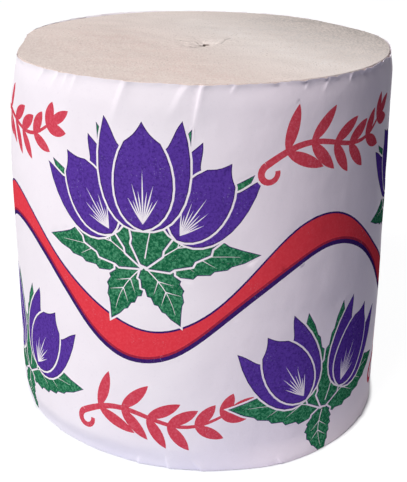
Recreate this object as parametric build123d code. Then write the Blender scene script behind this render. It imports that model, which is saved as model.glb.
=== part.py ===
"""Coreless toilet paper roll in its paper wrapper.

Millimetres, +Z up along the roll's axis, origin at the middle of the end it stands on.
Angles are in degrees about +Z from +X, and the side that faces the viewer is at -90.
"""

import os
from math import cos, degrees, exp, radians, sin

from build123d import *

# The wound paper
PAPER_WIDTH = 90.0
ROLL_DIAMETER = 91.6
STRIP_THICKNESS = 0.16
TAIL_ANGLE = 48.0

# The turns, drawn as groups of turns with a fine gap between one group and the next
TURN_PITCH = 5.4
TURN_GAP = 0.12
OUTER_GROUP = 4.4

# The flat fold that the winding starts from
EYE_X = 0.8
EYE_Y = -3.0
EYE_LENGTH = 3.2
EYE_WIDTH = 0.7
EYE_TURN = 54.0
EYE_REACH = 9.0

# How far the soft roll is out of round
OVAL = 0.12
OVAL_ANGLE = 100.0
THREE_SIDED = 0.25
THREE_SIDED_ANGLE = -62.0

# Soft edges of the two ends
TOP_EDGE_DROP = 0.3
TOP_EDGE_HEIGHT = 5.0
BOTTOM_EDGE_DROP = 0.2
BOTTOM_EDGE_HEIGHT = 6.0
SQUEEZE_HEIGHT = 15.0

# Where an end has been pushed in or has spread: angle, spread in degrees, push, reach from the end
TOP_PUSHES = (
    (-178.0, 19.0, -3.3, SQUEEZE_HEIGHT),
    (34.0, 17.0, -1.8, SQUEEZE_HEIGHT),
    (107.0, 20.0, 1.1, SQUEEZE_HEIGHT),
)
BOTTOM_PUSHES = (
    (-135.0, 36.0, -1.3, BOTTOM_EDGE_HEIGHT),
    (-64.0, 19.0, 1.1, BOTTOM_EDGE_HEIGHT),
)

# The wrapper, one band of paper glued to itself by a lap
WRAPPER_THICKNESS = 0.10
WRAPPER_CLEARANCE = 0.10
WRAPPER_PROUD = 0.4
LAP_ANGLE = 76.0
LAP_LENGTH = 12.0
LAP_RAMP = 7.0

# Puckers at the wrapper's top edge: angle, spread in degrees, height, reach below the edge
PUCKERS = (
    (-110.0, 3.0, 0.45, 9.0),
    (-91.5, 2.6, 0.75, 7.0),
    (150.0, 3.4, 0.40, 8.0),
)

# How finely the sections and the spiral are drawn
SECTION_STEP = 22.5
DETAIL_SHARES = (-2.0, -0.6, 0.6, 2.0)
DETAIL_ROOM = 1.5
COARSE_ROOM = 5.0
ARCS_PER_TURN = 4

# How far a cutting solid runs past the faces that it cuts
CUT_MARGIN = 1.0


def ease(share):
    """Smooth step from 0 to 1."""
    held = min(max(share, 0.0), 1.0)
    return held * held * (3.0 - 2.0 * held)


def between(angle, other):
    """Signed angle from other to angle, within half a turn."""
    return (angle - other + 180.0) % 360.0 - 180.0


def bell(distance, spread):
    return exp(-((distance / spread) ** 2))


def edge_share(distance, reach):
    """1 at an edge, falling smoothly to 0 at the reach from it."""
    return ease(1.0 - distance / reach)


def pushed(angle, distance, pushes):
    """How far the side stands out at an angle and a distance from the end that was pushed."""
    return sum(
        push * bell(between(angle, at), spread) * edge_share(distance, reach)
        for at, spread, push, reach in pushes
    )


def roll_radius(angle, z):
    """Radius of the wound paper, which is soft and a little out of round."""
    below_top = PAPER_WIDTH - min(z, PAPER_WIDTH)
    return (
        ROLL_DIAMETER / 2
        + OVAL * cos(radians(2 * (angle - OVAL_ANGLE)))
        + THREE_SIDED * cos(radians(3 * (angle - THREE_SIDED_ANGLE)))
        - TOP_EDGE_DROP * edge_share(below_top, TOP_EDGE_HEIGHT)
        - BOTTOM_EDGE_DROP * edge_share(z, BOTTOM_EDGE_HEIGHT)
        + pushed(angle, below_top, TOP_PUSHES)
        + pushed(angle, z, BOTTOM_PUSHES)
    )


def puckered(angle, z):
    """How far the wrapper stands off the roll at its puckers."""
    return pushed(angle, PAPER_WIDTH + WRAPPER_PROUD - z, PUCKERS)


def point_at(radius, angle, z):
    return Vector(radius * cos(radians(angle)), radius * sin(radians(angle)), z)


def ring(radius_at, angles, z):
    """One section: an arc from each angle to the next, then straight in over the step at the seam."""

    def at(angle):
        return point_at(radius_at(angle, z), angle, z)

    edges = [
        Edge.make_three_point_arc(at(first), at((first + last) / 2), at(last))
        for first, last in zip(angles, angles[1:])
    ]
    edges.append(Edge.make_line(at(angles[-1]), at(angles[0])))
    return Wire(edges)


def tube_heights(top):
    """Heights of the sections of a body that stands to the top: soft edges with a straight middle."""
    soft_end = PAPER_WIDTH - TOP_EDGE_HEIGHT
    squeezed_end = PAPER_WIDTH - SQUEEZE_HEIGHT
    return [
        0.0,
        BOTTOM_EDGE_HEIGHT,
        squeezed_end,
        (squeezed_end + soft_end) / 2,
        soft_end,
        PAPER_WIDTH - TOP_EDGE_HEIGHT / 2,
        top,
    ]


def tube(radius_at, angles, heights):
    return Solid.make_loft([ring(radius_at, angles, z) for z in heights], ruled=True)


def section_angles(seam, details):
    """Angles once round from the seam, closer together at each detail."""
    fine = [at + share * spread for at, spread in details for share in DETAIL_SHARES]
    coarse = [index * SECTION_STEP for index in range(round(360.0 / SECTION_STEP))]
    kept = []
    for angles, room in ((fine, DETAIL_ROOM), (coarse, COARSE_ROOM)):
        for angle in angles:
            if all(abs(between(angle, other)) > room for other in kept):
                kept.append(angle)
    turned = [seam + (angle - seam) % 360.0 for angle in kept]
    inside = [angle for angle in turned if DETAIL_ROOM < angle - seam < 360.0 - DETAIL_ROOM]
    return sorted([seam, *inside, seam + 360.0])


def wound_outline():
    """Solid outer form of the wound paper, with the small step where its tail ends."""

    def radius_at(angle, z):
        unwound = (TAIL_ANGLE + 360.0 - angle) / 360.0
        return roll_radius(angle, z) - STRIP_THICKNESS * unwound

    return tube(radius_at, section_angles(TAIL_ANGLE, ()), tube_heights(PAPER_WIDTH))


def spiral_point(turned, offset):
    """Point of the gap between turns after a turn of so many degrees, moved out by offset."""
    radius = TURN_PITCH * turned / 360.0 + EYE_LENGTH / 2
    across_fold = sin(radians(turned)) ** 2
    radius -= EYE_LENGTH / 2 * across_fold * bell(radius, EYE_REACH)
    share = radius / (ROLL_DIAMETER / 2)
    angle = EYE_TURN + turned
    grown = roll_radius(angle, PAPER_WIDTH / 2) - ROLL_DIAMETER / 2
    radius += offset + grown * share**2
    centre = Vector(EYE_X, EYE_Y) * (1.0 - share)
    return centre + point_at(radius, angle, 0)


def turn_gap():
    """The fine spiral gap between turns, from the fold in the middle to inside the outer group."""
    turns = (ROLL_DIAMETER / 2 - OUTER_GROUP - EYE_LENGTH / 2) / TURN_PITCH
    arcs = round(turns * ARCS_PER_TURN)
    arc_turn = 360.0 / ARCS_PER_TURN

    def side(offset):
        def at(place):
            return spiral_point(place * arc_turn, offset)

        return [Edge.make_three_point_arc(at(i), at(i + 0.5), at(i + 1)) for i in range(arcs)]

    outer = side(TURN_GAP / 2)
    inner = side(-TURN_GAP / 2)
    closing = [
        Edge.make_line(outer[0] @ 0, inner[0] @ 0),
        Edge.make_line(outer[-1] @ 1, inner[-1] @ 1),
    ]
    gap = Face(Wire(outer + inner + closing))
    fold = Pos(EYE_X, EYE_Y) * Rot(0, 0, EYE_TURN) * SlotOverall(EYE_LENGTH, EYE_WIDTH)
    depth = PAPER_WIDTH + 2 * CUT_MARGIN
    return Pos(0, 0, -CUT_MARGIN) * extrude(fold + gap, depth)


def make_paper_roll():
    return wound_outline() - turn_gap()


def make_wrapper():
    """One band of paper that climbs on to its own first end, where it is glued down."""
    inner_edge = LAP_ANGLE - degrees(LAP_LENGTH / (ROLL_DIAMETER / 2))

    def lifted(angle):
        return WRAPPER_THICKNESS * ease((angle - inner_edge - 360.0 + LAP_RAMP) / LAP_RAMP)

    def inner_radius(angle, z):
        return roll_radius(angle, z) + WRAPPER_CLEARANCE + puckered(angle, z) + lifted(angle)

    def outer_radius(angle, z):
        return inner_radius(angle, z) + WRAPPER_THICKNESS

    heights = tube_heights(PAPER_WIDTH + WRAPPER_PROUD)
    details = [pucker_row[:2] for pucker_row in PUCKERS]
    outside = tube(outer_radius, section_angles(LAP_ANGLE, details), heights)
    inside = tube(inner_radius, section_angles(inner_edge, details), heights)
    return wall_between(outside, inside)


def wall_between(outside, inside):
    """The thin wall between two bodies whose ends lie in the same two planes."""
    outer_faces = outside.faces().sort_by(Axis.Z)
    inner_faces = inside.faces().sort_by(Axis.Z)
    rims = [
        Face(outer_faces[end].outer_wire(), [inner_faces[end].outer_wire()]) for end in (0, -1)
    ]
    return Solid(Shell(outer_faces[1:-1] + inner_faces[1:-1] + rims))


def main():
    os.makedirs("parts", exist_ok=True)
    export_step(make_paper_roll(), "parts/paper_roll.step")
    export_step(make_wrapper(), "parts/wrapper.step")


main()
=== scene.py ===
# Dresses the wound roll and its printed wrapper, and lights them as in the photograph.
from math import cos, degrees, pi, radians, sin, sqrt

import bpy
import numpy as np
from mathutils import Matrix, Vector
from mathutils.geometry import delaunay_2d_cdt
from mathutils.kdtree import KDTree


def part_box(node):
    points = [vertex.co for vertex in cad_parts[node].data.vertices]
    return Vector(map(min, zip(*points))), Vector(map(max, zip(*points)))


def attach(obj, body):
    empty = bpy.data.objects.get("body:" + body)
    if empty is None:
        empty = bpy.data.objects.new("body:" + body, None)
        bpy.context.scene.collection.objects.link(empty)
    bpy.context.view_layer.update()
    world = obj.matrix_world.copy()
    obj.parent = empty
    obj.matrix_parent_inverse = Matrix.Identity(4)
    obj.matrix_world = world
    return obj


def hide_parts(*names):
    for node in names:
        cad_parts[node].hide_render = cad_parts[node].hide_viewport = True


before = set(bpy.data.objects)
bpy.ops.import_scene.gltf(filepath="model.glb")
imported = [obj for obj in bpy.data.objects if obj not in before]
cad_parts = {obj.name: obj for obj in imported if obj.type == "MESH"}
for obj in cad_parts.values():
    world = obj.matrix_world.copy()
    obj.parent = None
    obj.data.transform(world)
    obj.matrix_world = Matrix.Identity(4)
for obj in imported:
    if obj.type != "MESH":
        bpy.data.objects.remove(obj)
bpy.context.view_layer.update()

# Lengths below are in millimetres, and angles in degrees about +Z from +X, with -90 at the front
MM = 0.001
FRONT = -90.0
PAPER_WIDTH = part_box("paper_roll")[1].z / MM
WRAPPER_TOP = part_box("wrapper")[1].z / MM

# The solids' own sizes
ROLL_DIAMETER = 91.6
STRIP_THICKNESS = 0.16
TAIL_ANGLE = 48.0
TURN_PITCH = 5.4
EYE_X = 0.8
EYE_Y = -3.0
EYE_LENGTH = 3.2
EYE_WIDTH = 0.7
EYE_TURN = 54.0
EYE_REACH = 9.0
OVAL = 0.12
OVAL_ANGLE = 100.0
THREE_SIDED = 0.25
THREE_SIDED_ANGLE = -62.0
TOP_EDGE_DROP = 0.3
TOP_EDGE_HEIGHT = 5.0
BOTTOM_EDGE_DROP = 0.2
BOTTOM_EDGE_HEIGHT = 6.0
SQUEEZE_HEIGHT = 15.0
WRAPPER_THICKNESS = 0.1
WRAPPER_CLEARANCE = 0.1
LAP_ANGLE = 76.0
LAP_LENGTH = 12.0
LAP_RAMP = 7.0
ROLL_RADIUS = ROLL_DIAMETER / 2
EYE_RADIUS = EYE_LENGTH / 2

# Where an end has been pushed in or has spread: angle, spread in degrees, push, reach from the end
TOP_PUSHES = (
    (-178.0, 19.0, -3.3, SQUEEZE_HEIGHT),
    (34.0, 17.0, -1.8, SQUEEZE_HEIGHT),
    (107.0, 20.0, 1.1, SQUEEZE_HEIGHT),
)
BOTTOM_PUSHES = (
    (-135.0, 36.0, -1.3, BOTTOM_EDGE_HEIGHT),
    (-64.0, 19.0, 1.1, BOTTOM_EDGE_HEIGHT),
)

# Puckers at the wrapper's top edge, in the same order
PUCKERS = (
    (-110.0, 3.0, 0.45, 9.0),
    (-91.5, 2.6, 0.75, 7.0),
    (150.0, 3.4, 0.4, 8.0),
)

# Tucks, where the wrapper steps out to the right and eases back: angle at the edge, lean in degrees
# for each millimetre from the edge, height, width of the step, width of the slope, reach
TOP_TUCKS = (
    (-109.0, -0.43, 0.6, 1.3, 2.0, 11.0),
    (-89.6, -0.22, 0.6, 0.5, 4.0, 11.0),
    (-93.1, -0.62, 0.4, 1.3, 2.8, 8.5),
    (-81.3, -0.45, 0.22, 0.5, 3.0, 3.0),
    (-136.3, -0.95, 0.3, 0.7, 1.6, 5.0),
    (-130.3, -0.8, 0.3, 0.7, 1.6, 5.0),
    (-127.0, -0.58, 0.24, 0.6, 1.4, 5.0),
    (-123.8, -0.5, 0.34, 0.9, 1.6, 6.0),
    (-61.7, -0.3, 0.26, 0.4, 2.0, 3.0),
    (-54.5, -0.6, 0.2, 0.8, 1.2, 5.0),
    (-46.4, -0.2, 0.34, 0.4, 2.0, 3.0),
    (-20.0, 0.6, 0.25, 0.6, 3.0, 5.0),
    (12.0, -0.5, 0.3, 0.6, 4.0, 6.0),
    (58.0, 0.4, 0.25, 0.5, 3.0, 4.0),
    (118.0, -0.6, 0.35, 0.7, 4.0, 7.0),
    (165.0, 0.5, 0.25, 0.6, 3.0, 5.0),
)
BOTTOM_TUCKS = (
    (-108.0, 0.3, 0.3, 0.5, 2.0, 3.0),
    (-98.5, -0.25, 0.35, 0.5, 2.5, 4.5),
    (-89.0, -1.00, 0.35, 0.5, 2.5, 4.0),
    (-66.0, -0.5, 0.25, 0.5, 2.5, 3.0),
    (-140.0, 0.4, 0.25, 0.6, 3.0, 4.0),
    (-28.0, 0.3, 0.3, 0.6, 3.0, 4.0),
    (35.0, -0.4, 0.3, 0.6, 3.0, 5.0),
    (130.0, 0.5, 0.3, 0.6, 3.0, 4.0),
)

# Shallow hollows of the side: angle, spread in degrees, height, spread in height, depth
HOLLOWS = (
    (-170.0, 22.0, 74.0, 8.0, 0.55),
    (-9.0, 16.0, 91.0, 3.4, 0.55),
    (-34.0, 11.0, 84.0, 9.0, 0.25),
    (-62.0, 9.0, 12.0, 12.0, -0.2),
    (-148.0, 10.0, 10.0, 9.0, 0.3),
)

# Fine cracks round the eye of the winding: points, depth, share of painted shade
CRACKS = (
    (((-5.2, 1.33), (-3.5, 0.08), (-2.4, -0.52)), 0.12, 0.8),
    (((-1.9, 0.6), (-1.0, -0.4), (-0.5, -1.8)), 0.1, 0.35),
    (((4.6, -2.6), (6.12, 2.6), (7.37, 5.13)), 0.12, 0.4),
    (((8.4, 2.8), (9.0, 0.8)), 0.03, 0.08),
    (((-2.6, -5.6), (-1.6, -7.6), (-0.4, -6.2)), 0.08, 0.55),
)
CRACK_WIDTH = 0.26

# The camera, as the photograph's outline gives it, in millimetres, pixels and radians
CAMERA_PLACE = (0.0, -247.47, 135.68)
CAMERA_DOWN = 0.3737
CAMERA_YAW = 0.004
CAMERA_ROLL = 0.0072
CAMERA_FOCUS = 1031.2
PHOTO_HEIGHT = 482
SENSOR = 36.0

# The print's inks, by their place among the wrapper's materials
PAPER, VIOLET, DEEP_VIOLET, GREEN, RED, SCARLET, DARK_RED = range(7)

# Width of the bare rim round a field of ink
KEYLINE = 0.45


def ease(share):
    """Smooth step from 0 to 1."""
    held = np.clip(share, 0.0, 1.0)
    return held * held * (3.0 - 2.0 * held)


def between(angle, other):
    """Signed angle from other to angle, within half a turn."""
    return (angle - other + 180.0) % 360.0 - 180.0


def bell(distance, spread):
    return np.exp(-((distance / spread) ** 2))


def edge_share(distance, reach):
    """1 at an edge, falling smoothly to 0 at the reach from it."""
    return ease(1.0 - distance / reach)


def pushed(angle, distance, pushes):
    """How far the side stands out at an angle and a distance from the end that was pushed."""
    return sum(
        push * bell(between(angle, at), spread) * edge_share(distance, reach)
        for at, spread, push, reach in pushes
    )


def hollowed(angle, z):
    """How far the side is pressed in at its shallow hollows."""
    return sum(
        depth * bell(between(angle, at), spread) * bell(z - height, high)
        for at, spread, height, high, depth in HOLLOWS
    )


def roll_radius(angle, z):
    """Radius of the wound paper, as in the solid but with its shallow hollows."""
    below_top = PAPER_WIDTH - np.minimum(z, PAPER_WIDTH)
    return (
        ROLL_RADIUS
        + OVAL * np.cos(np.radians(2 * (angle - OVAL_ANGLE)))
        + THREE_SIDED * np.cos(np.radians(3 * (angle - THREE_SIDED_ANGLE)))
        - TOP_EDGE_DROP * edge_share(below_top, TOP_EDGE_HEIGHT)
        - BOTTOM_EDGE_DROP * edge_share(z, BOTTOM_EDGE_HEIGHT)
        + pushed(angle, below_top, TOP_PUSHES)
        + pushed(angle, z, BOTTOM_PUSHES)
        - hollowed(angle, z)
    )


WAVES = 36
WAVE_LENGTHS = (0.7, 1.5)


def unevenness(seed, wavelength):
    """A smooth random height over points in space, mostly -1 to 1, from waves of like length."""
    random = np.random.default_rng(seed)
    directions = random.normal(size=(WAVES, 3))
    directions /= np.linalg.norm(directions, axis=1)[:, None]
    lengths = wavelength * random.uniform(*WAVE_LENGTHS, WAVES)
    steps = directions * (2 * pi / lengths)[:, None]
    phases = random.uniform(0.0, 2 * pi, WAVES)

    def height(points):
        return np.cos(points @ steps.T + phases).sum(axis=1) / sqrt(WAVES)

    return height


def uneven(rows, points):
    """Heights over points from rows of a height, a seed and a wavelength."""
    return sum(height * unevenness(seed, wavelength)(points) for height, seed, wavelength in rows)


def on_circle(angle, radius, z):
    """Points at angles and radii, as rows of x, y and z."""
    turned = np.radians(angle)
    return np.column_stack([radius * np.cos(turned), radius * np.sin(turned), z + 0 * turned])


def distance_to_line(points, line):
    """Distance of flat points from a line through a few points."""
    nearest = np.full(len(points), np.inf)
    for start, end in zip(line, line[1:]):
        start = np.array(start)
        run = np.array(end) - start
        share = np.clip((points - start) @ run / (run @ run), 0.0, 1.0)
        away = points - start - share[:, None] * run
        nearest = np.minimum(nearest, np.hypot(away[:, 0], away[:, 1]))
    return nearest


def new_piece(name, points, faces, node):
    """The mesh of a new object from points in millimetres, which stands for a solid."""
    mesh = bpy.data.meshes.new(name)
    mesh.from_pydata((np.asarray(points) * MM).tolist(), [], faces)
    mesh.validate()
    piece = bpy.data.objects.new(name, mesh)
    bpy.context.scene.collection.objects.link(piece)
    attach(piece, "root")
    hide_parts(node)
    return mesh


# The wound paper

SEGMENTS = 300
TOP_ROWS = 18
BOTTOM_ROWS = 6
SIDE_HEIGHTS = (0.35, 1.0, 2.0, 3.5, 6.0, 66.0, 75.5, 81.0, 85.0, 86.5, 87.6, 88.5, 89.1, 89.5)
EYE_DEPTHS = (0.7, 1.5, 3.3)
SHARP_EDGE = 50.0

# How near to the eye or the rim a row may come, in rows, and the slip allowed in a whole turn
ROW_ROOM = 0.4
WHOLE_TURN = 1e-6

# Relief of the ends
GAP_DEPTH = 0.015
GAP_WIDTH = 1e-3
RIM_DROP = 0.04
RIM_REACH = 1.6
CRUMPLE_REACH = 6.0
DIMPLE_DEPTH = 0.35
DIMPLE_REACH = 2.2

# Waves of the ends: height, seed, wavelength, and for the turns how little they change along the strip
TOP_TURNS = ((0.005, 11, 0.9, 0.05), (0.006, 12, 2.2, 0.08))
BOTTOM_TURNS = ((0.03, 17, 1.8, 0.08),)
BROAD_WAVES = ((0.1, 13, 26.0), (0.05, 14, 9.0))
CRUMPLE_WAVES = ((0.08, 15, 2.6), (0.05, 16, 1.2))
TURN_LENGTH = 60.0

# Share of the painted shade, in the cracks' dark colour, at the edge of the eye and down in its hole
EYE_EDGE_SHADE = 0.6
EYE_SHADE = 1.0


def outline_radius(angle, z):
    """Radius of the wound paper with the small step where its tail ends."""
    unwound = 1.0 - ((angle - TAIL_ANGLE) % 360.0) / 360.0
    return roll_radius(angle, z) - STRIP_THICKNESS * unwound


def end_place(reach, angle, z):
    """Flat place of a point of an end: folded flat at the eye, and out of round at the rim."""
    share = reach / ROLL_RADIUS
    flat = (EYE_LENGTH - EYE_WIDTH) / 2
    across_fold = np.sin(np.radians(angle - EYE_TURN)) ** 2
    grown = outline_radius(angle, z) - ROLL_RADIUS
    radius = reach - flat * across_fold * bell(reach - EYE_RADIUS, EYE_REACH) + grown * share**2
    places = on_circle(angle, radius, 0.0)[:, :2]
    return places + np.outer(1.0 - share, (EYE_X, EYE_Y))


def wound_rows(rows_per_turn):
    """Numbers, reaches and shares of a turn of places on rows that wind outwards with the strip.

    The edge of the eye is numbered first, and then the rim.
    """
    step = TURN_PITCH / rows_per_turn
    rows = int((ROLL_RADIUS - EYE_RADIUS) / step) + 2 * rows_per_turn + 3
    around = np.arange(SEGMENTS)
    share = around / SEGMENTS
    ids = np.zeros((rows, SEGMENTS), int)
    reaches = [np.full(SEGMENTS, EYE_RADIUS), np.full(SEGMENTS, ROLL_RADIUS)]
    shares = [share, share]
    count = 2 * SEGMENTS
    for row in range(rows):
        reach = EYE_RADIUS + step * row + TURN_PITCH * (share - 1.0)
        ids[row] = np.where(reach < EYE_RADIUS + ROW_ROOM * step, around, -1)
        ids[row] = np.where(reach > ROLL_RADIUS - ROW_ROOM * step, SEGMENTS + around, ids[row])
        inside = ids[row] < 0
        ids[row][inside] = count + np.arange(inside.sum())
        count += inside.sum()
        reaches.append(reach[inside])
        shares.append(share[inside])
    return ids, np.concatenate(reaches), np.concatenate(shares)


def wound_faces(ids, rows_per_turn):
    """Faces between the rows, where each row's end meets the start of the row one turn out."""
    ahead = np.roll(ids, -1, axis=1)
    ahead[:-rows_per_turn, -1] = ids[rows_per_turn:, 0]
    corners = np.stack([ids[:-1], ids[1:], ahead[1:], ahead[:-1]], axis=2)[:-rows_per_turn]
    faces = [list(dict.fromkeys(face)) for face in corners.reshape(-1, 4).tolist()]
    return [face for face in faces if len(face) > 2]


def wound_end(rows_per_turn, z):
    """Flat places and faces of one end, the edge of the eye first and then the rim.

    Each place comes with its reach, how far it lies across the strip, and how many turns along it.
    """
    ids, reach, share = wound_rows(rows_per_turn)
    places = end_place(reach, EYE_TURN + 360.0 * share, z)
    wound = reach - EYE_RADIUS + TURN_PITCH * (1.0 - share)
    turns = np.floor(wound / TURN_PITCH + WHOLE_TURN)
    across = wound - turns * TURN_PITCH
    return places, wound_faces(ids, rows_per_turn), reach, across, turns + share


def cracked(places, line):
    return bell(distance_to_line(places, line), CRACK_WIDTH)


def turn_waves(rows, across, along):
    """Heights of the fine turns, whose waves change slowly along the strip."""
    strip = np.column_stack([across, along * TURN_LENGTH, 0 * across])
    return sum(
        height * unevenness(seed, wavelength)(strip * (1.0, stretch, 1.0))
        for height, seed, wavelength, stretch in rows
    )


def top_relief(places, reach, across, along):
    """Height of the top end above its plane: fine turns, a soft rim, and a crumpled eye."""
    flat = np.column_stack([places, 0 * across])
    gap = GAP_DEPTH * (across < GAP_WIDTH)
    turns = turn_waves(TOP_TURNS, across, along) - gap + uneven(BROAD_WAVES, flat)
    from_rim = ROLL_RADIUS - reach
    settled = np.clip(from_rim / RIM_REACH, 0.0, 1.0)
    crumple = bell(reach - EYE_RADIUS, CRUMPLE_REACH) * uneven(CRUMPLE_WAVES, flat)
    dimple = DIMPLE_DEPTH * bell(reach - EYE_RADIUS, DIMPLE_REACH)
    rim = RIM_DROP * edge_share(from_rim, RIM_REACH)
    cracks = sum(depth * cracked(places, line) for line, depth, _ in CRACKS)
    return turns * settled + crumple - dimple - rim - cracks


def bottom_relief(across, along):
    """Height of the bottom end above the floor."""
    return np.abs(turn_waves(BOTTOM_TURNS, across, along)) + GAP_DEPTH * (across < GAP_WIDTH)


def loop_strip(lower, upper):
    """Faces between two closed loops of points, seen from outside with the upper one above."""
    return np.column_stack([lower, np.roll(lower, -1), np.roll(upper, -1), upper]).tolist()


def add_loops(points, faces, first, loops, last):
    """Adds loops of points, each joined to the one before, between two that are there already."""
    count = sum(len(part) for part in points)
    below = first
    for loop in loops:
        points.append(loop)
        ids = count + np.arange(SEGMENTS)
        count += SEGMENTS
        faces += loop_strip(below, ids)
        below = ids
    faces += loop_strip(below, last)


def crack_shade(top, count):
    """Share of the painted shade in the cracks and the eye at each point: the top end's first, and the
    eye's last.
    """
    shade = np.zeros(count)
    shade[: len(top)] = sum(dark * cracked(top, line) for line, _, dark in CRACKS)
    shade[:SEGMENTS] = EYE_EDGE_SHADE
    shade[-len(EYE_DEPTHS) * SEGMENTS :] = EYE_SHADE
    return np.minimum(shade, 1.0)


def make_wound_paper():
    """One solid body: both wound ends, the side between their rims, and the folded eye through it."""
    top, top_faces, reach, across, along = wound_end(TOP_ROWS, PAPER_WIDTH)
    top_z = PAPER_WIDTH + top_relief(top, reach, across, along)
    bottom, bottom_faces, _, across, along = wound_end(BOTTOM_ROWS, 0.0)
    points = [np.column_stack([top, top_z]), np.column_stack([bottom, bottom_relief(across, along)])]
    faces = top_faces + [[corner + len(top) for corner in face[::-1]] for face in bottom_faces]

    eye = np.arange(SEGMENTS)
    rim = eye + SEGMENTS
    angle = EYE_TURN + 360.0 * eye / SEGMENTS
    side = [on_circle(angle, outline_radius(angle, height), height) for height in SIDE_HEIGHTS]
    add_loops(points, faces, len(top) + rim, side, rim)
    fold = [np.column_stack([top[eye], PAPER_WIDTH - depth + 0 * angle]) for depth in EYE_DEPTHS]
    add_loops(points, faces, eye, fold, len(top) + eye)

    points = np.concatenate(points)
    mesh = new_piece("wound_paper", points, faces, "paper_roll")
    mesh.materials.append(soft_paper_material())
    mesh.shade_smooth()
    mesh.set_sharp_from_angle(angle=radians(SHARP_EDGE))
    add_winding_map(mesh)
    # Painted shade: how much of the dark crack colour lies along the cracks and down the eye's hole
    layer = mesh.attributes.new("CrackShade", "FLOAT", "POINT")
    layer.data.foreach_set("value", crack_shade(top, len(points)))


def read(items, name, kind=int, width=1):
    """One property of all of a mesh's parts of a kind."""
    values = np.zeros(len(items) * width, kind)
    items.foreach_get(name, values)
    return values


def add_winding_map(mesh):
    """A map that unrolls each end: across the strip in millimetres, and along it in turns."""
    corners = read(mesh.loops, "vertex_index")
    places = read(mesh.vertices, "co", float, 3).reshape(-1, 3)[corners] / MM
    starts = read(mesh.polygons, "loop_start")
    sizes = read(mesh.polygons, "loop_total")
    reach = np.hypot(places[:, 0], places[:, 1])
    share = (np.degrees(np.arctan2(places[:, 1], places[:, 0])) - EYE_TURN) % 360.0 / 360.0
    first = np.repeat(share[starts], sizes)
    share = share + np.round(first - share)
    wound = reach + TURN_PITCH * (1.0 - share)
    layer = mesh.uv_layers.new(name="Winding")
    layer.data.foreach_set("uv", np.column_stack([wound, share]).ravel())


# The print, drawn on the flat sheet: x along the wrapper from the front, z up

CURVE_POINTS = 10

# What keeps lengths above zero, and the sharpest corner that isn't blunted
TINY = 1e-9
SHARPEST_BEND = 0.45


def curve(start, pull, end_pull, end):
    """Points of one smooth curve, without its last point."""
    share = (np.arange(CURVE_POINTS) / CURVE_POINTS)[:, None]
    rest = 1.0 - share
    return (
        rest**3 * np.array(start)
        + 3 * rest**2 * share * np.array(pull)
        + 3 * rest * share**2 * np.array(end_pull)
        + share**3 * np.array(end)
    )


def outline(*curves):
    return np.concatenate([curve(*points) for points in curves])


def placed(points, at, turn, width, height):
    """A shape drawn in a unit box, scaled, turned anticlockwise and set down."""
    sized = points * (width, height)
    c, s = cos(radians(turn)), sin(radians(turn))
    return sized @ np.array([[c, s], [-s, c]]) + np.array(at)


def turning(points):
    """Twice the outline's area, below zero where it runs clockwise."""
    ahead = np.roll(points, -1, axis=0)
    return (points[:, 0] * ahead[:, 1] - ahead[:, 0] * points[:, 1]).sum()


def unit(vectors):
    return vectors / (np.linalg.norm(vectors, axis=1)[:, None] + TINY)


def grown(points, by):
    """The outline, which runs anticlockwise, moved out by a distance all round."""
    ahead = unit(np.roll(points, -1, axis=0) - points)
    along = unit(ahead + unit(points - np.roll(points, 1, axis=0)))
    out = np.column_stack([along[:, 1], -along[:, 0]])
    bend = np.clip((ahead * along).sum(axis=1), SHARPEST_BEND, 1.0)
    return points + out * (by / bend)[:, None]


def draw(shapes, points, ink, edge=0.0, keyline=0.0):
    """Adds a field of ink, over a dark edge and a bare rim where it has them."""
    if turning(points) < 0.0:
        points = points[::-1]
    if keyline:
        shapes.append((grown(points, edge + keyline), PAPER))
    if edge:
        shapes.append((grown(points, edge), DEEP_VIOLET))
    shapes.append((points, ink))


def stroke(shapes, line, widths, ink, keyline=0.0):
    """A stroke of changing width along a line of points."""
    along = np.gradient(line, axis=0)
    along /= np.linalg.norm(along, axis=1)[:, None]
    across = np.column_stack([-along[:, 1], along[:, 0]]) * (widths / 2)[:, None]
    draw(shapes, np.concatenate([line + across, (line - across)[::-1]]), ink, 0.0, keyline)


SIDE_PETAL = outline(
    ((0.0, 0.0), (-0.4, -0.04), (-0.66, 0.42), (-0.44, 1.0)),
    ((-0.44, 1.0), (-0.34, 0.9), (-0.32, 0.74), (-0.22, 0.74)),
    ((-0.22, 0.74), (-0.1, 0.76), (-0.02, 0.62), (0.04, 0.5)),
    ((0.04, 0.5), (0.06, 0.3), (0.04, 0.12), (0.0, 0.0)),
)
MIDDLE_PETAL = outline(
    ((0.0, 0.0), (0.34, 0.06), (0.44, 0.48), (0.2, 0.8)),
    ((0.2, 0.8), (0.14, 0.84), (0.08, 0.86), (0.0, 0.98)),
    ((0.0, 0.98), (-0.08, 0.86), (-0.14, 0.84), (-0.2, 0.8)),
    ((-0.2, 0.8), (-0.44, 0.48), (-0.34, 0.06), (0.0, 0.0)),
)
VEIN = outline(
    ((0.0, 0.0), (0.035, 0.35), (0.025, 0.65), (0.0, 1.0)),
    ((0.0, 1.0), (-0.025, 0.65), (-0.035, 0.35), (0.0, 0.0)),
)
LEAFLET = outline(
    ((0.0, 0.0), (0.5, 0.22), (0.42, 0.75), (0.0, 1.0)),
    ((0.0, 1.0), (-0.4, 0.7), (-0.42, 0.22), (0.0, 0.0)),
)

# The fan of veins in a flower, in degrees and in shares of its size
VEINS_A_SIDE = 4
VEIN_SPREAD = 7.5
VEIN_WIDTH = 0.36
VEIN_LENGTH = 0.5
VEIN_SHORTER = 0.055
ODD_VEIN_SHARE = 0.72
FAN_FOOT = 0.05

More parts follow.
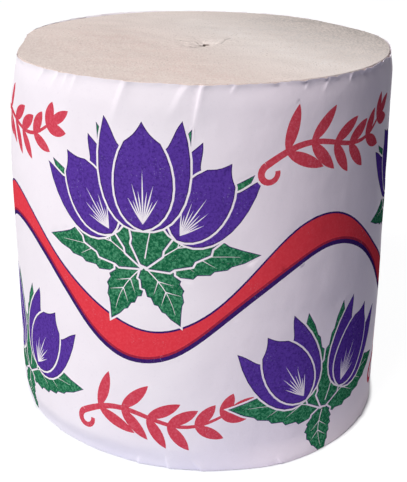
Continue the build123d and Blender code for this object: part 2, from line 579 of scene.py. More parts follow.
# A leaf's outline, with how far along and how far out the points of a tooth lie
LEAF_TEETH = 6
TOOTH = ((0.0, 0.86), (0.75, 1.0))
TOOTHED_SHARE = 0.94
LEAF_START = 0.01
LEAF_BELLY = 0.75
LEAF_FULLNESS = 0.8
LEAF_BEND = 0.16
LEAF_TIP = (0.02, 1.06)

# A leaf's rib and side veins: shares of its size, but widths in millimetres
RIB_ENDS = (0.06, 0.88)
RIB_POINTS = 8
RIB_WIDTH = 0.28
VEIN_TAPER = 1.1
SIDE_VEIN_STARTS = (0.3, 0.5)
SIDE_VEIN_POINTS = 4
SIDE_VEIN_OUT = 0.3
SIDE_VEIN_UP = 0.16
SIDE_VEIN_WIDTH = 0.22

# Width of the dark edge round a petal and a leaf
PETAL_EDGE = 0.2
LEAF_EDGE = 0.16


def toothed_side(side):
    """One side of a leaf from its foot to its tip, in a unit box."""
    points = []
    for tooth in range(LEAF_TEETH):
        for step, reach in TOOTH:
            share = TOOTHED_SHARE * (tooth + step) / LEAF_TEETH + LEAF_START
            half = 0.5 * sin(pi * share**LEAF_BELLY) ** LEAF_FULLNESS * reach
            points.append((side * half + LEAF_BEND * sin(pi * share), share))
    return points


LEAF = np.array(toothed_side(1.0) + [LEAF_TIP] + toothed_side(-1.0)[::-1])


def tulip(shapes, at, turn, width, height):
    """A flower of three petals with a fan of fine bare veins."""
    for petal in (SIDE_PETAL, SIDE_PETAL * (-1.0, 1.0), MIDDLE_PETAL):
        draw(shapes, placed(petal, at, turn, width, height), VIOLET, PETAL_EDGE, KEYLINE)
    foot = placed(np.array([[0.0, FAN_FOOT]]), at, turn, width, height)[0]
    for vein in range(-VEINS_A_SIDE, VEINS_A_SIDE + 1):
        long = VEIN_LENGTH - VEIN_SHORTER * abs(vein)
        if vein % 2:
            long *= ODD_VEIN_SHARE
        turned = turn + VEIN_SPREAD * vein
        draw(shapes, placed(VEIN, foot, turned, VEIN_WIDTH * width, long * height), PAPER)


def leaf(shapes, at, turn, width, height, side):
    """A toothed leaf with a bare rib and veins."""

    def vein(x, up, share, wide):
        line = placed(np.column_stack([x, up]), at, turn, width, height)
        stroke(shapes, line, wide * (VEIN_TAPER - share), PAPER)

    draw(shapes, placed(LEAF * (side, 1.0), at, turn, width, height), GREEN, LEAF_EDGE, KEYLINE)
    share = np.linspace(*RIB_ENDS, RIB_POINTS)
    vein(side * LEAF_BEND * np.sin(pi * share), share, share, RIB_WIDTH)
    share = np.linspace(0.0, 1.0, SIDE_VEIN_POINTS)
    for start in SIDE_VEIN_STARTS:
        for out in (-SIDE_VEIN_OUT, SIDE_VEIN_OUT):
            x = side * LEAF_BEND * sin(pi * start) + out * share
            vein(x, start + SIDE_VEIN_UP * share, share, SIDE_VEIN_WIDTH)


# The bunches: turn, width, height and bend of each leaf; place, turn, width and height of each flower
BOUQUET_LEAVES = (
    (84.0, 8.5, 21.0, 1.0),
    (-84.0, 8.5, 21.0, -1.0),
    (150.0, 7.5, 13.0, 1.0),
    (-150.0, 7.5, 13.0, -1.0),
    (48.0, 9.5, 26.0, -1.0),
    (-48.0, 9.5, 26.0, 1.0),
    (19.0, 9.0, 27.0, 1.0),
    (-19.0, 9.0, 27.0, -1.0),
)
BOUQUET_FLOWERS = (
    (6.5, -5.0, -34.0, 15.0, 18.0),
    (-6.5, -5.0, 34.0, 15.0, 18.0),
    (0.0, -3.5, 0.0, 17.0, 21.0),
)
PAIR_LEAVES = (
    (80.0, 8.5, 19.0, 1.0),
    (-80.0, 8.5, 19.0, -1.0),
    (180.0, 6.5, 10.0, 1.0),
    (12.0, 8.0, 20.0, -1.0),
    (-12.0, 8.0, 20.0, 1.0),
)
PAIR_FLOWERS = (
    (4.5, -6.0, -30.0, 14.0, 17.0),
    (-4.5, -6.0, 30.0, 14.0, 17.0),
)


def bunch(shapes, x, z, size, foot, leaves, flowers):
    """Tulips over leaves that spread from one foot."""
    for turn, width, height, side in leaves:
        leaf(shapes, (x, z + foot * size), turn, width * size, height * size, side)
    for out, up, turn, width, height in flowers:
        at = (x + out * size, z + up * size)
        tulip(shapes, at, turn, width * size, height * size)


SPRIG_LENGTH = 35.0
SPRIG_BOW = 2.4
STEM_POINTS = 24
STEM_WIDTH = 1.4
STEM_START = 1.15
STEM_TAPER = 0.7

# The stem's points that carry a pair of leaflets, and how the leaflets change from pair to pair
LEAFLET_POINTS = (3, 7, 11, 14, 18, 22)
LEAFLET_WIDTH = 4.3
LEAFLET_LENGTH = 10.4
LEAFLET_SHORTER = 0.8
LEAFLET_LEAN = 50.0
LEAFLET_STEEPER = 3.0
TIP_WIDTH = 3.6
TIP_LENGTH = 7.0

# The curl at the stem's foot: its ends in degrees, and its radius and width at each end
CURL_POINTS = 16
CURL_ANGLES = (90.0, 330.0)
CURL_RADII = (1.0, 0.62)
CURL_RADIUS = 2.6
CURL_WIDTHS = (1.15, 0.8)


def foot_curl(parts, at, heading):
    """The curl at the foot of a sprig."""
    around = np.radians(np.linspace(*CURL_ANGLES, CURL_POINTS))
    radius = CURL_RADIUS * np.linspace(*CURL_RADII, CURL_POINTS)
    line = np.column_stack([radius * np.cos(around), radius * (np.sin(around) - 1.0)])
    widths = STEM_WIDTH * np.linspace(*CURL_WIDTHS, CURL_POINTS)
    stroke(parts, placed(line, at, heading, 1.0, 1.0), widths, RED, KEYLINE)


def sprig(shapes, x, z, turn):
    """A red branch of leaflets in pairs, with a curl at its foot, laid down over its bare rims."""
    share = np.linspace(0.0, 1.0, STEM_POINTS)
    stem = np.column_stack([(share - 0.5) * SPRIG_LENGTH, SPRIG_BOW * np.sin(2 * pi * share)])
    stem = placed(stem, (x, z), turn, 1.0, 1.0)
    parts = []
    stroke(parts, stem, STEM_WIDTH * (STEM_START - STEM_TAPER * share), RED, KEYLINE)
    ahead = np.gradient(stem, axis=0)
    heading = np.degrees(np.arctan2(ahead[:, 1], ahead[:, 0]))
    for station, index in enumerate(LEAFLET_POINTS):
        length = LEAFLET_LENGTH - LEAFLET_SHORTER * station
        lean = LEAFLET_LEAN - LEAFLET_STEEPER * station
        for side in (-1.0, 1.0):
            leaning = heading[index] - 90.0 + side * lean
            leaflet = placed(LEAFLET, stem[index], leaning, LEAFLET_WIDTH, length)
            draw(parts, leaflet, RED, 0.0, KEYLINE)
    tip = placed(LEAFLET, stem[-1], heading[-1] - 90.0, TIP_WIDTH, TIP_LENGTH)
    draw(parts, tip, RED, 0.0, KEYLINE)
    foot_curl(parts, stem[0], heading[0])
    shapes += sorted(parts, key=lambda part: part[1])


# The layout of the print along the wrapper
REPEAT_LENGTH = 84.0
REPEATS = 4
FIRST_BOUQUET = -180.0
MOTIF_SHIFT = 1.0

# Height, size and foot of each bunch, and height and turn of each sprig
BOUQUET_AT = (62.5, 1.12, -11.0)
PAIR_AT = (22.5, 1.22, -9.0)
LOW_SPRIG = (13.0, 7.0)
HIGH_SPRIG = (75.5, 9.0)

# The ribbon, with half its width as an even and a swelling share
RIBBON_MIDDLE = 44.0
RIBBON_SWING = 12.5
RIBBON_HALF = 3.3
RIBBON_EVEN = 0.66
RIBBON_SWELL = 0.34
SWELL_PHASE = 0.6
RIBBON_STEP = 1.5

# How far each ink of the ribbon reaches past its red, below and above
RIBBON_EDGES = (
    (2.2, 0.95, PAPER),
    (1.55, 0.45, DEEP_VIOLET),
    (0.55, 0.0, DARK_RED),
    (0.0, 0.0, SCARLET),
)


def ribbon(shapes):
    """A red ribbon with violet edges that waves round the roll, highest between two bouquets."""
    x = np.linspace(SHEET_START, SHEET_END, int((SHEET_END - SHEET_START) / RIBBON_STEP))
    crest = FIRST_BOUQUET + REPEAT_LENGTH / 2
    turned = 2 * pi * (x - crest) / REPEAT_LENGTH
    middle = RIBBON_MIDDLE + RIBBON_SWING * np.cos(turned)
    slope = -RIBBON_SWING * 2 * pi / REPEAT_LENGTH * np.sin(turned)
    swell = RIBBON_SWELL * np.cos(2 * turned + SWELL_PHASE)
    half = RIBBON_HALF * (RIBBON_EVEN + swell)
    lean = np.hypot(slope, 1.0)
    for below, above, ink in RIBBON_EDGES:
        lower = np.column_stack([x, middle - (half + below) * lean])
        upper = np.column_stack([x, middle + (half + above) * lean])
        draw(shapes, np.concatenate([lower, upper[::-1]]), ink)


# The wrapper

INNER_EDGE = LAP_ANGLE - degrees(LAP_LENGTH / ROLL_RADIUS)
SHEET_START = radians(INNER_EDGE - 360.0 - FRONT) * ROLL_RADIUS
SHEET_END = radians(LAP_ANGLE - FRONT) * ROLL_RADIUS
SHARP_FOLD = 60.0

# The net that fills the flat sheet, with the gap between rows and the room at the ends in steps
FINE_STEP = 0.75
COARSE_STEP = 1.5
FINE_TOP = 12.0
FINE_BOTTOM = 6.0
ROW_STEP = 0.87
START_ROOM = 0.6
END_ROOM = 0.5

# Room between points of different kinds, and the smallest field of ink that is kept
EDGE_ROOM = 0.3
CREASE_ROOM = 0.12
NET_ROOM = 0.45
PRINT_MARGIN = 0.02
MERGED = 1e-4
SMALLEST_FIELD = 0.1

# Points along the tucks, and how far they lie beside the sharp lines
CREASE_START = 0.25
CREASE_STEP = 0.45
CREASE_SIDE = 0.13
CREASE_SLOPE = 0.6

# How the wrapper lies on the roll
TUCK_VALLEY = 0.15
PUCKER_SHARE = 0.3
LAP_ROOM = 0.04
LAP_LIFT = 0.05
LAP_LIFT_SPREAD = 1.5

# Slack of the wrapper, with its waves, and how tight it is near the top
EVEN_SLACK = 0.18
BROAD_SLACK = ((0.13, 21, 30.0),)
BROAD_STRETCH = (1.0, 1.0, 0.7)
CLOSE_SLACK = ((0.05, 22, 11.0), (0.01, 23, 4.0))
TIGHTNESS = 0.8
TIGHT_REACH = 7.0

# The ragged line of the cut edges
RAGGED_WAVES = ((0.05, 24, 5.0), (0.05, 25, 1.8))
RAGGED_REACH = 3.0

# How far the rim rises and curls outwards, and the parts that differ: angle and spread in degrees,
# rise and curl
RIM_RISE = -0.46
RIM_CURL = 0.1
BACK_RIM = (126.0, 26.0, 0.24, 0.4)
LEFT_RIM = (-174.0, 24.0, -0.5, 0.0)
LOOSE_RIM = (-40.0, 38.0, -0.22, 0.22)
PATCH_WAVES = (27, 2.4)
PATCHES = 0.45
MOST_LOOSE = 1.3
CURL_REACH = 1.2
CURL_WAVES = ((0.6, 26, 3.0),)
LEFT_PRESS = 0.18
LEFT_PRESS_REACH = 4.0

# How far the bottom edge rises and tucks in
FOOT_RISE = 0.12
FOOT_RAGGED = 0.5
FOOT_TUCK = 0.1
FOOT_TUCK_REACH = 0.8


def printed_shapes():
    """All the fields of ink, in the order they are laid down."""
    shapes = []
    ribbon(shapes)
    for repeat in range(REPEATS):
        x = FIRST_BOUQUET + repeat * REPEAT_LENGTH
        halfway = x + REPEAT_LENGTH / 2 + MOTIF_SHIFT
        bunch(shapes, x, *BOUQUET_AT, BOUQUET_LEAVES, BOUQUET_FLOWERS)
        sprig(shapes, x + MOTIF_SHIFT, *LOW_SPRIG)
        bunch(shapes, halfway, *PAIR_AT, PAIR_LEAVES, PAIR_FLOWERS)
        sprig(shapes, halfway, *HIGH_SPRIG)
    return shapes


def cut_at(points, axis, limit, side):
    """The part of an outline that lies below a limit along an axis, or above it where side is -1."""
    kept = []
    for here, ahead in zip(points, np.roll(points, -1, axis=0)):
        room, room_ahead = side * (limit - here[axis]), side * (limit - ahead[axis])
        if room >= 0.0:
            kept.append(here)
        if room * room_ahead < 0.0:
            kept.append(here + room / (room - room_ahead) * (ahead - here))
    return np.array(kept).reshape(-1, 2)


def cut_to_sheet(points):
    """The part of an outline that lies on the sheet, just clear of its edges."""
    for axis, low, high in ((0, SHEET_START, SHEET_END), (1, 0.0, WRAPPER_TOP)):
        points = cut_at(points, axis, high - PRINT_MARGIN, 1.0)
        points = cut_at(points, axis, low + PRINT_MARGIN, -1.0)
    return points


def net(low, high, step):
    """Staggered points over a strip of the sheet between two heights."""
    rows = max(1, round((high - low) / (ROW_STEP * step)))
    points = []
    for row in range(rows):
        z = low + (row + 0.5) * (high - low) / rows
        shift = 0.5 * step * (row % 2)
        x = np.arange(SHEET_START + START_ROOM * step + shift, SHEET_END - END_ROOM * step, step)
        points.append(np.column_stack([x, z + 0 * x]))
    return np.concatenate(points)


def sheet_border():
    """Points round the sheet's edge, anticlockwise."""
    along = np.linspace(SHEET_START, SHEET_END, round((SHEET_END - SHEET_START) / FINE_STEP) + 1)
    up = np.linspace(0.0, WRAPPER_TOP, round(WRAPPER_TOP / COARSE_STEP) + 1)
    sides = (
        np.column_stack([along[:-1], 0 * along[:-1]]),
        np.column_stack([SHEET_END + 0 * up[:-1], up[:-1]]),
        np.column_stack([along[:0:-1], WRAPPER_TOP + 0 * along[:0:-1]]),
        np.column_stack([SHEET_START + 0 * up[:0:-1], up[:0:-1]]),
    )
    return np.concatenate(sides)


def crease_points(tucks, edge, inwards):
    """Points along the foot and the crest of each tuck, close beside its sharp lines."""
    points = []
    for at, lean, _, step, _, reach in tucks:
        beside_foot = (-step - CREASE_SIDE, -step + CREASE_SIDE, -step / 2)
        beside_crest = (-CREASE_SIDE, CREASE_SIDE, CREASE_SLOPE)
        for distance in np.arange(CREASE_START, reach, CREASE_STEP):
            crest = radians(at + lean * distance - FRONT) * ROLL_RADIUS
            if crest > SHEET_END:
                crest -= 2 * pi * ROLL_RADIUS
            z = edge + inwards * distance
            points += [(crest + past, z) for past in beside_foot + beside_crest]
    return points


def away_from(points, others, room):
    """Those points that lie at least a distance from the others."""
    tree = KDTree(len(others))
    for index, (x, z) in enumerate(others):
        tree.insert((x, z, 0.0), index)
    tree.balance()
    kept = [p for p in points if tree.find((p[0], p[1], 0.0))[2] > room]
    return np.array(kept)


def filling_points(drawn):
    """Points that fill the sheet round its drawn lines: along the tucks, and then a net."""
    creases = crease_points(TOP_TUCKS, WRAPPER_TOP, -1.0) + crease_points(BOTTOM_TUCKS, 0.0, 1.0)
    creases = away_from(np.array(creases), drawn, CREASE_ROOM)
    strips = (
        net(EDGE_ROOM, FINE_BOTTOM, FINE_STEP),
        net(FINE_BOTTOM, WRAPPER_TOP - FINE_TOP, COARSE_STEP),
        net(WRAPPER_TOP - FINE_TOP, WRAPPER_TOP - EDGE_ROOM, FINE_STEP),
    )
    filled = np.concatenate([drawn, creases])
    return np.concatenate([creases, away_from(np.concatenate(strips), filled, NET_ROOM)])


def flat_sheet(shapes):
    """The sheet cut into triangles along the edges of its print, with the ink of each."""
    fields = [(sheet_border(), PAPER)]
    for points, ink in shapes:
        inside = cut_to_sheet(points)
        if len(inside) > 2 and turning(inside) > SMALLEST_FIELD:
            fields.append((inside, ink))
    drawn = np.concatenate([points for points, _ in fields])
    outlines = []
    start = 0
    for points, _ in fields:
        outlines.append(list(range(start, start + len(points))))
        start += len(points)
    vectors = [Vector(point) for point in np.concatenate([drawn, filling_points(drawn)])]
    flat, _, faces, _, _, sources = delaunay_2d_cdt(vectors, [], outlines, 0, MERGED, True)
    on_sheet = [(list(face), fields[max(source)][1]) for face, source in zip(faces, sources) if source]
    flat = np.array([tuple(point) for point in flat])
    return flat, [face for face, _ in on_sheet], [ink for _, ink in on_sheet]


def tucked(angle, distance, tucks):
    """How far the wrapper stands off at its tucks, each a short step and a long slope."""
    total = 0.0 * angle
    for at, lean, height, step, slope, reach in tucks:
        past = np.radians(between(angle, at + lean * distance)) * ROLL_RADIUS
        foot = -TUCK_VALLEY * np.exp(np.minimum(past + step, 0.0) / step)
        rising = foot + (1.0 - foot) * np.clip(1.0 + past / step, 0.0, 1.0)
        shape = np.where(past < 0.0, rising, np.exp(-np.maximum(past, 0.0) / slope))
        total = total + height * shape * edge_share(distance, reach)
    return total


def slack(angle, z):
    """How far the wrapper stands off the roll where it isn't quite tight."""
    on_roll = on_circle(angle, ROLL_RADIUS, z)
    waves = uneven(BROAD_SLACK, on_roll * BROAD_STRETCH) + uneven(CLOSE_SLACK, on_roll)
    loose = 1.0 - TIGHTNESS * edge_share(WRAPPER_TOP - z, TIGHT_REACH)
    return np.maximum(EVEN_SLACK + waves, 0.0) * loose


def wrapper_radius(angle, z):
    """Radius of the wrapper's inner side, over its lap, tucks and slack."""
    over_lap = (WRAPPER_THICKNESS + LAP_ROOM) * ease((angle - INNER_EDGE + LAP_RAMP) / LAP_RAMP)
    over_lap += LAP_LIFT * bell(LAP_ANGLE - angle, LAP_LIFT_SPREAD)
    below_top = WRAPPER_TOP - z
    stands_off = pushed(angle, below_top, PUCKERS) * PUCKER_SHARE + slack(angle, z)
    stands_off = stands_off + tucked(angle, below_top, TOP_TUCKS) + tucked(angle, z, BOTTOM_TUCKS)
    return roll_radius(angle, z) + WRAPPER_CLEARANCE + over_lap + stands_off


def edge_moves(angle, z):
    """How far the cut edges curl outwards and rise: the rim all round, and the foot."""
    rim = on_circle(angle, ROLL_RADIUS, 0.0)
    below_top = WRAPPER_TOP - z
    patchy = np.clip(PATCHES + unevenness(*PATCH_WAVES)(rim), 0.0, MOST_LOOSE)
    proud, flare = RIM_RISE, RIM_CURL
    for (at, spread, rises, curls), share in ((BACK_RIM, 1.0), (LEFT_RIM, 1.0), (LOOSE_RIM, patchy)):
        near = bell(between(angle, at), spread) * share
        proud = proud + rises * near
        flare = flare + curls * near
    ragged = uneven(RAGGED_WAVES, rim)
    rise = edge_share(below_top, RAGGED_REACH) * (ragged + proud)
    rise += edge_share(z, RAGGED_REACH) * (FOOT_RISE + FOOT_RAGGED * np.abs(ragged))
    curl = flare * np.maximum(1.0 - below_top / CURL_REACH, 0.0) ** 2 * (1.0 + uneven(CURL_WAVES, rim))
    curl -= FOOT_TUCK * np.maximum(1.0 - z / FOOT_TUCK_REACH, 0.0) ** 2
    at_left = bell(between(angle, LEFT_RIM[0]), LEFT_RIM[1])
    return curl - LEFT_PRESS * at_left * edge_share(below_top, LEFT_PRESS_REACH), rise


def wrapper_places(flat, layer):
    """Places of the flat sheet's points once it is wrapped, so many thicknesses out."""
    angle = FRONT + np.degrees(flat[:, 0] / ROLL_RADIUS)
    z = flat[:, 1]
    curl, rise = edge_moves(angle, z)
    return on_circle(angle, wrapper_radius(angle, z) + layer * WRAPPER_THICKNESS + curl, z + rise)


def rim_edges(faces):
    """The edges that only one face has, in that face's direction."""
    edges = {}
    for face in faces:
        for i in range(3):
            edges[(face[i], face[(i + 1) % 3])] = True
    return [edge for edge in edges if (edge[1], edge[0]) not in edges]


def make_wrapper():
    """One closed sheet: its printed side, its bare side, and its cut edges."""
    flat, faces, inks = flat_sheet(printed_shapes())
    bare, bare_faces, _ = flat_sheet([])
    count = len(flat)
    points = np.concatenate([wrapper_places(flat, 1.0), wrapper_places(bare, 0.0)])
    inner_faces = [[corner + count for corner in face[::-1]] for face in bare_faces]
    rims = [[b, a, a + count, b + count] for a, b in rim_edges(faces)]
    mesh = new_piece("wrapper_sheet", points, faces + inner_faces + rims, "wrapper")
    mesh.materials.append(paper_material())
    for ink in INKS:
        mesh.materials.append(ink_material(*ink))
    inks = inks + [PAPER] * (len(inner_faces) + len(rims))
    mesh.polygons.foreach_set("material_index", inks)
    mesh.shade_smooth()
    mesh.set_sharp_from_angle(angle=radians(SHARP_FOLD))


# Materials

# How much the wrapper's matt fibres flatten the light across its curve
WRAPPER_MATTNESS = 0.3

# The wrapper's paper
WHITE_PAPER = (0.848, 0.788, 0.818)
WHITER_PAPER = (0.88, 0.822, 0.85)
PAPER_FIBRE = (0.8, 0.74, 0.78)

# The inks in the order of their places: name, colour, colour of the mottle and its greatest share
INKS = (
    ("violet_ink", (0.11, 0.045, 0.34), (0.048, 0.018, 0.18), 0.75),
    ("deep_violet_ink", (0.042, 0.014, 0.12), (0.075, 0.028, 0.19), 0.4),
    ("green_ink", (0.01, 0.122, 0.052), (0.095, 0.36, 0.19), 0.9),
    ("red_ink", (0.62, 0.055, 0.086), (0.73, 0.14, 0.19), 0.55),
    ("scarlet_ink", (0.74, 0.046, 0.066), (0.8, 0.085, 0.11), 0.4),
    ("dark_red_ink", (0.34, 0.02, 0.05), (0.45, 0.04, 0.075), 0.5),
)
WORN_INK = (0.55, 0.5, 0.6)

# The soft paper, whose turns run along the strip and whose saw marks run from front to back
SOFT_PAPER = (0.75, 0.62, 0.56)
SOFT_CLOUD = (0.8, 0.7, 0.63)
SOFT_TURN = (0.74, 0.6, 0.53)
SOFT_MOTTLE = (0.9, 0.795, 0.72)
SOFT_SPECK = (0.52, 0.43, 0.37)
# Painted shade for the cracks and the eye's hole
CRACK_SHADE_COLOUR = (0.19, 0.125, 0.1)
TURN_STRETCH = (1.0, 14.0, 1.0)
SAW_STRETCH = (1.0, 0.42, 1.0)

# Broad painted light and shade over a paper, as tones: the direction they grow in, where they begin and
# are full along it in millimetres, their greatest share, and their colour
ACROSS = (0.88, 0.47, 0.0)
SOFT_PAINTED_SHADING = (
    (ACROSS, -42.0, -24.0, 1.0, (0.825, 0.66, 0.592)),
    (ACROSS, -14.0, 10.0, 1.0, (0.93, 0.855, 0.8)),
    (ACROSS, 14.0, 44.0, 1.0, (0.385, 0.35, 0.318)),
    ((-0.5, 0.87, 0.0), 16.0, 46.0, 0.8, (0.96, 0.825, 0.75)),
)
# Painted shade: a pinker, slightly darker tint of the wrapper's paper towards its shaded right side
WRAPPER_PAINTED_SHADE = (((0.77, -0.64, 0.0), 24.0, 44.0, 0.9, (0.845, 0.743, 0.802)),)


class Nodes:
    """The nodes of a material or a world, with short calls for the kinds used here."""

    def __init__(self, name="", tree=None):
        if tree is None:
            self.material = bpy.data.materials.new(name)
            self.material.use_nodes = True
            tree = self.material.node_tree
            self.shader = tree.nodes["Principled BSDF"]
        self.tree = tree

    def fill(self, node, inputs):
        """Sets inputs of a node, each to a value or from another node's output."""
        for name, value in inputs.items():
            if isinstance(value, bpy.types.NodeSocket):
                self.tree.links.new(value, node.inputs[name])
            else:
                node.inputs[name].default_value = value

    def add(self, kind, output, inputs, **settings):
        """One output of a new node."""
        node = self.tree.nodes.new("ShaderNode" + kind)
        for name, value in settings.items():
            setattr(node, name, value)
        self.fill(node, inputs)
        return node.outputs[output]

    def stretched(self, vector, scale):
        return self.add("Mapping", "Vector", {"Vector": vector, "Scale": scale})

    def places(self, scale=(1.0, 1.0, 1.0)):
        """The object's own coordinates in millimetres, stretched by a scale."""
        return self.stretched(self.add("TexCoord", "Object", {}), [1.0 / MM * s for s in scale])

    def noise(self, vector, wavelength, detail=2.0, roughness=0.5):
        inputs = {"Vector": vector, "Scale": 1.0 / wavelength, "Detail": detail, "Roughness": roughness}
        return self.add("TexNoise", "Fac", inputs)

    def remap(self, value, low, high, to_low=0.0, to_high=1.0):
        inputs = {"From Min": low, "From Max": high, "To Min": to_low, "To Max": to_high}
        return self.add("MapRange", "Result", {"Value": value, **inputs})

    def blend(self, share, first, second):
        """Mixes two colours, each a colour or another node's output."""
        first, second = [(*end, 1.0) if isinstance(end, tuple) else end for end in (first, second)]
        return self.add("Mix", 2, {0: share, 6: first, 7: second}, data_type="RGBA")

    def along(self, vector, direction):
        """How far a place lies from the middle in a direction, in millimetres."""
        return self.add("VectorMath", "Value", {0: vector, 1: direction}, operation="DOT_PRODUCT")

    def worked(self, operation, first, second):
        return self.add("Math", "Value", {0: first, 1: second}, operation=operation)

    def with_painted_shading(self, colour, vector, tones):
        """A colour under painted light and shade, as tones that come in by place."""
        for direction, start, full, share, tone in tones:
            reach = self.remap(self.along(vector, direction), start, full, 0.0, share)
            colour = self.blend(reach, colour, tone)
        return colour

    def patched(self, colour, noise, low, high, share, patch):
        """A colour with patches of another that come in between two values of a noise."""
        return self.blend(self.remap(noise, low, high, 0.0, share), colour, patch)

    def bump(self, height, distance, strength=1.0, under=None):
        inputs = {"Height": height, "Distance": distance * MM, "Strength": strength}
        if under is not None:
            inputs["Normal"] = under
        return self.add("Bump", "Normal", inputs)

    def finish(self, colour, roughness, normal, specular):
        inputs = {"Base Color": colour, "Roughness": roughness, "Normal": normal}
        self.fill(self.shader, {**inputs, "Specular IOR Level": specular})
        return self.material


def flatten_light(nodes):
    """Lets a material answer the light as rough fibres do."""
    nodes.fill(nodes.shader, {"Diffuse Roughness": WRAPPER_MATTNESS})


def paper_bump(nodes, vector):
    """The faint grain and cockle that the wrapper's paper has under its ink."""
    cockle = nodes.bump(nodes.noise(vector, 5.0, 2.0, 0.5), 0.16, 1.0)
    return nodes.bump(nodes.noise(vector, 0.5, 3.0, 0.6), 0.02, 1.0, cockle)


def paper_material():
    """Smooth white wrapping paper, with a painted pinker shade on its right side."""
    nodes = Nodes("white_wrapping_paper")
    flatten_light(nodes)
    vector = nodes.places()
    cloud = nodes.remap(nodes.noise(vector, 12.0, 3.0), 0.3, 0.7)
    colour = nodes.blend(cloud, WHITE_PAPER, WHITER_PAPER)
    # Painted shade towards the right side
    colour = nodes.with_painted_shading(colour, vector, WRAPPER_PAINTED_SHADE)
    colour = nodes.patched(colour, nodes.noise(vector, 0.7, 2.0), 0.62, 0.75, 0.5, PAPER_FIBRE)
    roughness = nodes.remap(nodes.noise(vector, 3.0), 0.3, 0.7, 0.46, 0.56)
    return nodes.finish(colour, roughness, paper_bump(nodes, vector), 0.06)


def ink_material(name, colour, fleck, share):
    """Ink that lies a little unevenly on the paper, and has worn off in specks here and there."""
    nodes = Nodes(name)
    flatten_light(nodes)
    vector = nodes.places()
    shade = nodes.patched(colour, nodes.noise(vector, 0.6, 3.0, 0.7), 0.44, 0.66, share, fleck)
    worn = nodes.patched(shade, nodes.noise(vector, 0.35, 1.0), 0.64, 0.8, 0.45, WORN_INK)
    patch = nodes.remap(nodes.noise(vector, 5.0, 1.0), 0.5, 0.64, 0.1, 1.0)
    shade = nodes.blend(patch, shade, worn)
    roughness = nodes.remap(nodes.noise(vector, 2.0), 0.3, 0.7, 0.36, 0.48)
    return nodes.finish(shade, roughness, paper_bump(nodes, vector), 0.0)


def soft_paper_material():
    """Matt recycled paper seen on its cut edges, with fine turns and specks, painted shade in its
    cracks and eye, and broad painted light and shade.
    """
    nodes = Nodes("recycled_paper")
    vector = nodes.places()
    sawn = nodes.places(SAW_STRETCH)
    along = nodes.stretched(nodes.add("UVMap", "UV", {}, uv_map="Winding"), TURN_STRETCH)
    painted_crack_shade = nodes.add("Attribute", "Fac", {}, attribute_name="CrackShade")
    # Broad painted light and shade across the ends: darker to the right and back, lighter at the back
    # left
    colour = nodes.with_painted_shading(SOFT_PAPER, vector, SOFT_PAINTED_SHADING)
    colour = nodes.patched(colour, nodes.noise(vector, 7.0), 0.35, 0.65, 0.35, SOFT_CLOUD)
    colour = nodes.patched(colour, nodes.noise(along, 0.35), 0.35, 0.65, 0.1, SOFT_TURN)
    colour = nodes.patched(colour, nodes.noise(sawn, 0.55, 3.0, 0.7), 0.38, 0.62, 0.6, SOFT_MOTTLE)
    colour = nodes.patched(colour, nodes.noise(sawn, 0.42, 1.0), 0.62, 0.74, 0.42, SOFT_SPECK)
    # Painted shade in the cracks and down the eye
    colour = nodes.patched(colour, painted_crack_shade, 0.0, 1.0, 0.85, CRACK_SHADE_COLOUR)
    lines = nodes.bump(nodes.noise(along, 0.3, 2.0), 0.012, 0.8)
    crepe = nodes.bump(nodes.noise(sawn, 0.5, 3.0, 0.65), 0.09, 0.9, lines)
    return nodes.finish(colour, 0.95, crepe, 0.1)


# Light, floor and camera

KEY_POWER = 10.3
KEY_TURN = -126.5
KEY_RISE = 42.0
KEY_DISTANCE = 1.0
KEY_SIZE = 0.49
LEFT_SKY = (0.23, 0.225, 0.265)
RIGHT_SKY = (0.055, 0.055, 0.07)
SEEN_SKY = (1.0, 1.0, 1.0)
FLOOR_SIZE = 4.0
CLIP_START = 0.01

# The floor's colours by distance from a place at the right, and as it is seen
NEAR_FLOOR = (0.95, 0.95, 0.97)
MIDDLE_FLOOR = (0.36, 0.43, 0.66)
FAR_FLOOR = (0.33, 0.345, 0.395)
SEEN_FLOOR = (0.9, 0.9, 0.91)
FLOOR_MIDDLE = (42.0, -4.0, 0.0)
NEAR_REACHES = (36.0, 60.0)
FAR_REACHES = (70.0, 95.0)
FLOOR_GLOW = 1.17
FLOOR_GLOW_SHARE = 0.82

# The glow stops near the object, which paints a soft contact shadow: the share of open sky where it is
# gone, and where it is whole
CONTACT_SHADOW_REACH = 1.2
CONTACT_SHADOW_SHARES = (0.4, 1.0)


def add_key_light():
    """One round lamp that stands high at the front left."""
    data = bpy.data.lights.new("key_light", "AREA")
    data.energy = KEY_POWER
    data.shape = "DISK"
    data.size = KEY_SIZE
    lamp = bpy.data.objects.new("key_light", data)
    bpy.context.scene.collection.objects.link(lamp)
    rise, turn = radians(KEY_RISE), radians(KEY_TURN)
    flat = KEY_DISTANCE * cos(rise)
    middle = Vector((0.0, 0.0, PAPER_WIDTH / 2 * MM))
    place = middle + Vector((flat * cos(turn), flat * sin(turn), KEY_DISTANCE * sin(rise)))
    aim = (middle - place).to_track_quat("-Z", "Y")
    lamp.matrix_world = Matrix.Translation(place) @ aim.to_matrix().to_4x4()


def seen_directly(nodes):
    """1 for what the camera, a reflection or clear matter sees, and 0 for what lights the object."""
    kinds = ("Is Camera Ray", "Is Glossy Ray", "Is Transmission Ray")
    camera, glossy, clear = [nodes.add("LightPath", kind, {}) for kind in kinds]
    return nodes.worked("MAXIMUM", nodes.worked("MAXIMUM", camera, glossy), clear)


def set_world():
    """White behind the object, and a soft light on it that is brighter from the left."""
    world = bpy.data.worlds.new("studio")
    world.use_nodes = True
    bpy.context.scene.world = world
    nodes = Nodes(tree=world.node_tree)
    direction = nodes.add("TexCoord", "Generated", {})
    across = nodes.remap(nodes.add("SeparateXYZ", "X", {"Vector": direction}), -1.0, 1.0)
    sky = nodes.blend(across, LEFT_SKY, RIGHT_SKY)
    colour = nodes.blend(seen_directly(nodes), sky, SEEN_SKY)
    nodes.fill(world.node_tree.nodes["Background"], {"Color": colour, "Strength": 1.0})


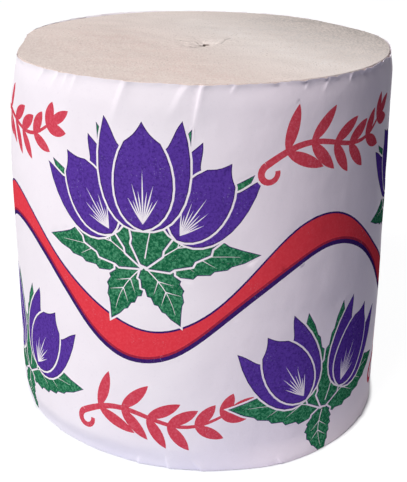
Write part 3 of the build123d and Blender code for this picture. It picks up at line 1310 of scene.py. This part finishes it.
def add_floor():
    """A white floor that keeps the object's shadow, with a painted contact shadow at its foot."""
    mesh = bpy.data.meshes.new("floor")
    half = FLOOR_SIZE / 2
    corners = [(-half, -half, 0.0), (half, -half, 0.0), (half, half, 0.0), (-half, half, 0.0)]
    mesh.from_pydata(corners, [], [[0, 1, 2, 3]])
    floor = bpy.data.objects.new("floor", mesh)
    bpy.context.scene.collection.objects.link(floor)
    mesh.materials.append(floor_material())


def floor_material():
    """White where it is seen, with a glow that stops at the object's foot as a painted contact shadow.
    """
    nodes = Nodes("white_floor")
    seen = seen_directly(nodes)
    inputs = {0: nodes.places(), 1: FLOOR_MIDDLE}
    distance = nodes.add("VectorMath", "Value", inputs, operation="DISTANCE")
    near = nodes.remap(distance, *NEAR_REACHES)
    far = nodes.remap(distance, *FAR_REACHES)
    colour = nodes.blend(far, nodes.blend(near, NEAR_FLOOR, MIDDLE_FLOOR), FAR_FLOOR)
    matt = nodes.add("BsdfDiffuse", "BSDF", {"Color": nodes.blend(seen, colour, SEEN_FLOOR)})
    glow = nodes.add("Emission", "Emission", {"Strength": FLOOR_GLOW})
    # Painted contact shadow: the glow fades where the object closes off the sky
    contact_shadow_ao = nodes.add("AmbientOcclusion", "AO", {"Distance": CONTACT_SHADOW_REACH * MM})
    open_share = nodes.remap(contact_shadow_ao, *CONTACT_SHADOW_SHARES, 0.0, FLOOR_GLOW_SHARE)
    share = nodes.worked("MULTIPLY", seen, open_share)
    surface = nodes.add("MixShader", "Shader", {0: share, 1: matt, 2: glow})
    nodes.fill(nodes.tree.nodes["Material Output"], {"Surface": surface})
    nodes.tree.nodes.remove(nodes.shader)
    return nodes.material


def add_camera():
    """The camera that the photograph's outline gives."""
    data = bpy.data.cameras.new("camera")
    data.sensor_width = SENSOR
    data.lens = CAMERA_FOCUS / PHOTO_HEIGHT * SENSOR
    data.clip_start = CLIP_START
    camera = bpy.data.objects.new("camera", data)
    bpy.context.scene.collection.objects.link(camera)
    turn = Matrix.Rotation(-CAMERA_YAW, 4, "Z") @ Matrix.Rotation(pi / 2 - CAMERA_DOWN, 4, "X")
    turn = turn @ Matrix.Rotation(CAMERA_ROLL, 4, "Z")
    camera.matrix_world = Matrix.Translation(Vector(CAMERA_PLACE) * MM) @ turn
    bpy.context.scene.camera = camera


add_camera()
make_wound_paper()
make_wrapper()
add_key_light()
set_world()
add_floor()
bpy.context.scene.view_settings.view_transform = "Standard"
